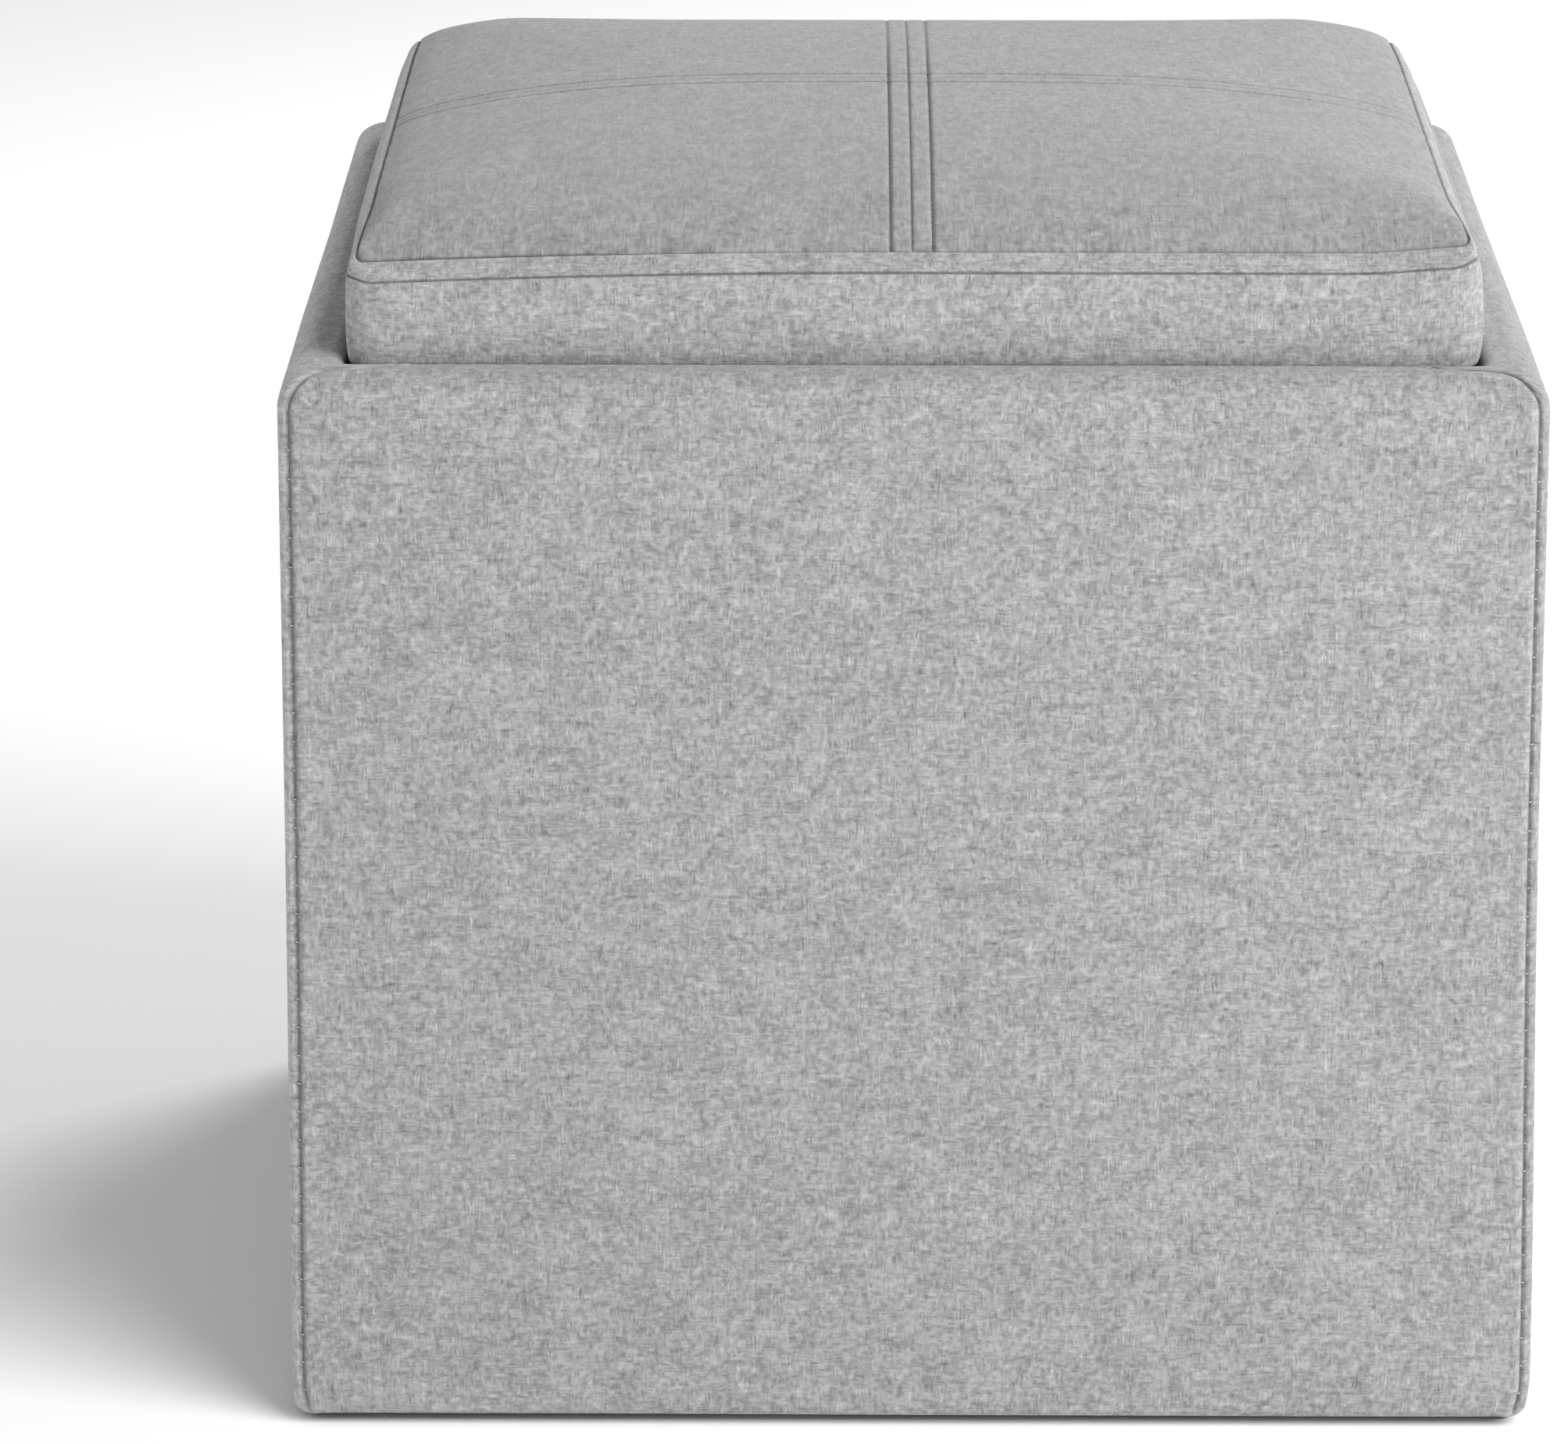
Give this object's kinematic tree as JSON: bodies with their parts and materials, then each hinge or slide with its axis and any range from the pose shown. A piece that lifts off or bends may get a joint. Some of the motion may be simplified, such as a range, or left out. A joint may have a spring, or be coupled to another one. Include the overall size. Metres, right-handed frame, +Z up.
{
  "type": "storage ottoman",
  "caption": "Upholstered cube ottoman on low glides: a lined storage box with a crowned padded lid that sits inside the rim and lifts off.",
  "frame": {"origin": "middle of the footprint, on the floor under the glides", "axes": "+Z up, front faces -Y, +X to the right seen from the front"},
  "size_m": [0.432, 0.432, 0.438],
  "materials": {
    "linen_cover": "melange plain-weave linen-look upholstery cloth, light grey",
    "foam": "open-cell polyurethane foam and polyester wadding",
    "fibreboard": "raw medium-density fibreboard",
    "plywood": "unfinished plywood",
    "pine": "planed softwood",
    "lining_cloth": "spun-bonded lining cloth, charcoal",
    "dust_cloth": "spun-bonded dust cloth, black",
    "glide_plastic": "moulded polyethylene, black",
    "zinc_screw": "yellow-passivated zinc",
    "steel_wire": "galvanised wire"
  },
  "bodies": {
    "box": {"corner_block_back_left": "pine", "corner_block_back_right": "pine", "corner_block_front_left": "pine", "corner_block_front_right": "pine", "cover_back": "linen_cover", "cover_front": "linen_cover", "cover_left": "linen_cover", "cover_right": "linen_cover", "dust_cover": "dust_cloth", "floor_lining": "lining_cloth", "floor_panel": "plywood", "floor_rail_back": "pine", "floor_rail_front": "pine", "floor_rail_left": "pine", "floor_rail_right": "pine", "glide_back_left": "glide_plastic", "glide_back_right": "glide_plastic", "glide_front_left": "glide_plastic", "glide_front_right": "glide_plastic", "glide_nails": "steel_wire", "hem_staples": "steel_wire", "lid_rest_back": "pine", "lid_rest_front": "pine", "lid_rest_left": "pine", "lid_rest_right": "pine", "lid_rest_screws": "zinc_screw", "lining_back": "lining_cloth", "lining_front": "lining_cloth", "lining_left": "lining_cloth", "lining_right": "lining_cloth", "padding_back": "foam", "padding_front": "foam", "padding_left": "foam", "padding_right": "foam", "rail_screws": "zinc_screw", "wall_back": "fibreboard", "wall_front": "fibreboard", "wall_left": "fibreboard", "wall_right": "fibreboard", "wall_screws": "zinc_screw"},
    "lid": {"lid_board": "plywood", "lid_boxing": "linen_cover", "lid_crown_pad": "foam", "lid_foam": "foam", "lid_panel_back_left": "linen_cover", "lid_panel_back_right": "linen_cover", "lid_panel_front_left": "linen_cover", "lid_panel_front_right": "linen_cover", "lid_staples": "steel_wire", "lid_underlay": "dust_cloth"}
  },
  "joints": [
    {"name": "lid_lift", "type": "slide", "parent": "box", "child": "lid", "axis": [0, 0, 1], "range_m": [0, 0.25]}
  ]
}
